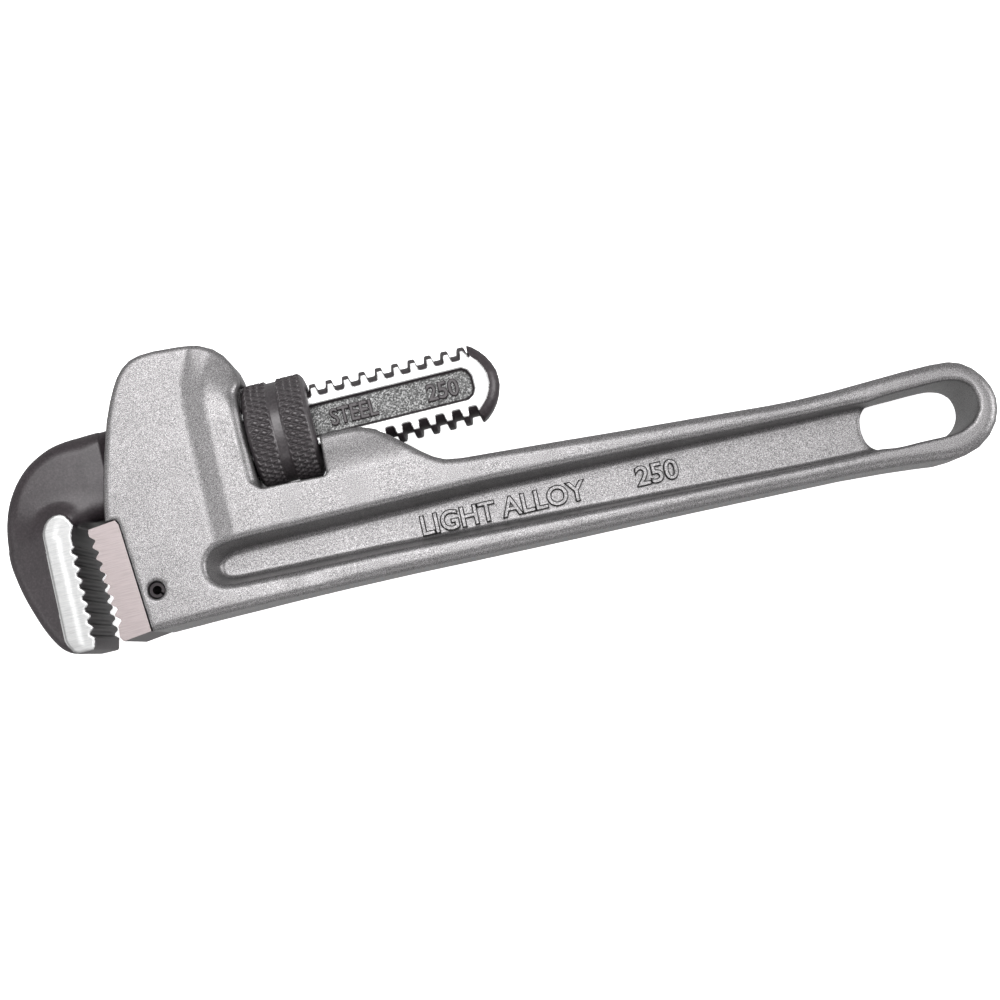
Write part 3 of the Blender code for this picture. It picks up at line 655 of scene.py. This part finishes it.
def finish_node(name, material, bevel):
    """Shows the CAD solid itself with this material, its edges bevelled by so many millimetres."""
    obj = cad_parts[name]
    obj.data.materials.clear()
    obj.data.materials.append(material)
    if bevel:
        modifier = obj.modifiers.new("edge", "BEVEL")
        modifier.width = bevel * MM
        modifier.segments = 2
        modifier.limit_method = "ANGLE"
        modifier.angle_limit = math.radians(35)


heel_skin = ground_material("heel_finish", 0.19, (0.05, 1, 1), 0.34, 0.03)
finish_node("heel_jaw", heel_skin, 0.12)
heel_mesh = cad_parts["heel_jaw"].data
heel_mesh.materials.append(oxide)
heel_sides = [int(abs(face.normal.z) < 0.5) for face in heel_mesh.polygons]
heel_mesh.polygons.foreach_set("material_index", heel_sides)
heel_mesh.update()
finish_node("heel_jaw_pin", oxide_material("pin_finish", 0.012, 0.6), 0.1)
finish_node("flat_spring", ground_material("leaf_finish", 0.4), 0)
finish_node("coil_spring", ground_material("coil_finish", 0.4, (1, 1, 1)), 0)
finish_node("spring_rivet", ground_material("rivet_finish", 0.5, (1, 1, 1)), 0)


# ------------------------------------------------------------ generic raised marks

def raised_mark(name, text, left, bottom, width, height, tilt, level, depth, side, materials, body,
                slot_name):
    """Raised letters that run from left to right, seen from the side they stand on.

    The first material covers the letters' tops and the second their sides.
    """
    curve = bpy.data.curves.new(name, "FONT")
    curve.body = text
    curve.extrude = 0.045
    curve.bevel_depth = 0.045
    curve.bevel_resolution = 2
    curve.resolution_u = 4
    helper = add_object(name + "_curve", curve)
    bpy.context.view_layer.update()
    graph = bpy.context.evaluated_depsgraph_get()
    mesh = bpy.data.meshes.new_from_object(helper.evaluated_get(graph))
    bpy.data.objects.remove(helper)
    points = np.array([v.co for v in mesh.vertices])
    low, high = points.min(0), points.max(0)
    points = (points - low) / (high - low)
    flat = np.stack([points[:, 0] * width, points[:, 1] * height], axis=1)
    cos, sin = math.cos(math.radians(tilt)), math.sin(math.radians(tilt))
    x = left + flat[:, 0] * cos - flat[:, 1] * sin
    y = bottom + flat[:, 0] * sin + flat[:, 1] * cos
    z = side * (level + depth * (points[:, 2] - 0.5) * 2)
    if side < 0:
        x = 2 * left + width * cos - x
    placed = (np.stack([x, y, z], axis=1) + SHIFT) * MM
    mesh.vertices.foreach_set("co", placed.astype(np.float32).ravel())
    if side < 0:
        mesh.flip_normals()
    welded = bmesh.new()
    welded.from_mesh(mesh)
    bmesh.ops.remove_doubles(welded, verts=welded.verts, dist=1e-7)
    bmesh.ops.recalc_face_normals(welded, faces=welded.faces)
    welded.to_mesh(mesh)
    welded.free()
    mesh.materials.clear()
    for item in materials:
        mesh.materials.append(item)
    sides = [int(abs(face.normal.z) < 0.93) for face in mesh.polygons]
    mesh.polygons.foreach_set("material_index", sides)
    obj = add_object(name, mesh)
    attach(obj, body)


# Tilt, level and depth of the marks on the web and on the shank's flat, then how they look.
WEB = (-1.2, 3.4, 1.0)
FLAT = (0, 3.8, 0.75)
# On the web the letters' sides take the darker paint, painted shade that outlines the letters.
WEB_LOOK = ([paint, letter_side_painted_shade], "handle", "aluminium_paint")
FLAT_LOOK = ([mark_skin, oxide], "hook", "black_oxide")
for side, label in ((1, "upper"), (-1, "under")):
    raised_mark("web_word_" + label, "LIGHT ALLOY", 67.9, -30.0, 36.6, 4.7, *WEB, side, *WEB_LOOK)
    raised_mark("web_size_" + label, "250", 115.2, -30.9, 9.6, 4.7, *WEB, side, *WEB_LOOK)
    raised_mark("shank_word_" + label, "STEEL", 54.6, -2.1, 10.6, 4.0, *FLAT, side, *FLAT_LOOK)
    raised_mark("shank_size_" + label, "250", 76.0, -2.1, 7.2, 4.0, *FLAT, side, *FLAT_LOOK)


# ------------------------------------------------------------ floor, light and camera

floor_mesh = bpy.data.meshes.new("floor")
span = 3.0
floor_corners = [(-span, -span, 0), (span, -span, 0), (span, span, 0), (-span, span, 0)]
floor_mesh.from_pydata(floor_corners, [], [(0, 1, 2, 3)])
floor = add_object("floor", floor_mesh)
floor.location.z = -0.0001
floor_skin, floor_tree, floor_shader = new_material("floor_skin")
floor_shade = tint(floor_tree, grain(floor_tree, 0.004, 2), ((0.0, grey(0.93)), (1.0, grey(0.95))))
floor_tree.links.new(floor_shade, floor_shader.inputs["Base Color"])
floor_shader.inputs["Roughness"].default_value = 0.9
floor_shader.inputs["Emission Color"].default_value = (1, 1, 1, 1)
floor_shader.inputs["Emission Strength"].default_value = 0.75
floor_mesh.materials.append(floor_skin)
floor.visible_glossy = False


def soft_light(name, place, target, width, height, power):
    """A rectangular lamp in metres and watts, turned towards the target."""
    lamp = bpy.data.lights.new(name, "AREA")
    lamp.shape = "RECTANGLE"
    lamp.size = width
    lamp.size_y = height
    lamp.energy = power
    obj = add_object(name, lamp)
    obj.location = place
    obj.rotation_euler = (Vector(target) - Vector(place)).to_track_quat("-Z", "Y").to_euler()


soft_light("key", (-0.06, 0.38, 0.85), (0.0, 0.0, 0), 0.56, 0.42, 5.6)
soft_light("top", (0.05, -0.1, 0.88), (0.03, -0.02, 0), 0.75, 0.38, 1.9)
soft_light("glow", (-0.02, 0.06, 0.86), (-0.02, 0.0, 0), 0.26, 0.24, 1.25)
soft_light("fill_left", (-1.0, -0.1, 0.45), (0, 0, 0), 0.6, 0.6, 2.2)
soft_light("fill_right", (1.0, -0.1, 0.36), (0, 0, 0), 0.6, 0.5, 8.0)
soft_light("fill_front", (0.1, -1.0, 0.4), (0.03, 0, 0), 0.9, 0.4, 1.6)

scene = bpy.context.scene
world = bpy.data.worlds.new("studio")
world.use_nodes = True
background = world.node_tree.nodes["Background"]
background.inputs["Color"].default_value = (1, 1, 1, 1)
background.inputs["Strength"].default_value = 0.45
scene.world = world
scene.view_settings.view_transform = "Standard"

camera_data = bpy.data.cameras.new("camera")
camera_data.lens = 66.528
camera_data.sensor_width = 36
camera_data.clip_start = 0.01
camera = add_object("camera", camera_data)
camera.location = (-0.01193653, -0.04693977, 0.4132)
camera.rotation_euler = (math.radians(4.640458), math.radians(-0.309023), math.radians(-14.057292))
scene.camera = camera
